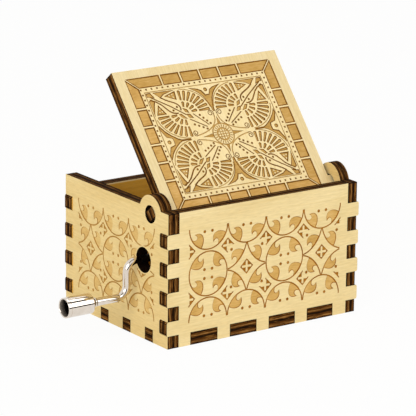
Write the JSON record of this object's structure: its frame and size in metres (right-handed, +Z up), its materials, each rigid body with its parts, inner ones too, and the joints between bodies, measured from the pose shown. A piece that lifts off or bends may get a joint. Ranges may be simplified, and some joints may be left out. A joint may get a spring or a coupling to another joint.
{
  "type": "hand cranked music box",
  "caption": "Plywood box with finger jointed corners and a pivoted lid, holding a pinned cylinder and steel comb turned by a bent wire crank through a worm drive.",
  "frame": {"origin": "middle of the case's rectangular footprint, on the underside it stands on", "axes": "+X away from the crank, along the long walls; +Y from the hinge side to the side where the lid shuts; +Z up"},
  "size_m": [0.0884, 0.051, 0.0693],
  "materials": {
    "birch_plywood": "bare laser cut plywood with burnt edges",
    "cast_zinc": "as cast, dull nickel plate",
    "comb_steel": "ground and plated",
    "plated_screw": "bright zinc plate",
    "tuning_lead": "dull",
    "damper_foil": "matt",
    "turned_brass": "turned",
    "pin_steel": "bright drawn wire",
    "chrome_plate": "polished"
  },
  "bodies": {
    "case": {"front_panel": "birch_plywood", "rear_panel": "birch_plywood", "left_panel": "birch_plywood", "right_panel": "birch_plywood", "bottom_panel": "birch_plywood", "movement_frame": "cast_zinc", "frame_screws": "plated_screw", "comb": "comb_steel", "comb_weights": "tuning_lead", "comb_dampers": "damper_foil", "comb_screws": "plated_screw"},
    "lid": {"lid": "birch_plywood"},
    "crank": {"crank_handle": "chrome_plate", "worm": "turned_brass"},
    "knob": {"crank_knob": "chrome_plate"},
    "cylinder": {"cylinder_barrel": "turned_brass", "cylinder_pins": "pin_steel", "cylinder_caps": "turned_brass", "cylinder_arbor": "pin_steel", "worm_wheel": "turned_brass"}
  },
  "joints": [
    {"name": "lid_hinge", "type": "hinge", "parent": "case", "child": "lid", "pos_m": [0, -0.01685, 0.03585], "axis": [1, 0, 0], "range_deg": [-50, 90]},
    {"name": "crank_spin", "type": "hinge", "parent": "case", "child": "crank", "pos_m": [0, -0.0115, 0.0219], "axis": [1, 0, 0], "continuous": true},
    {"name": "knob_spin", "type": "hinge", "parent": "crank", "child": "knob", "pos_m": [-0.052, -0.0115, 0.01215], "axis": [1, 0, 0], "continuous": true},
    {"name": "cylinder_spin", "type": "hinge", "parent": "case", "child": "cylinder", "pos_m": [-0.014, 0.0008, 0.0129], "axis": [0, 1, 0], "continuous": true}
  ],
  "couplings": [
    {"joint": "cylinder_spin", "follows": "crank_spin", "ratio": -0.05}
  ]
}
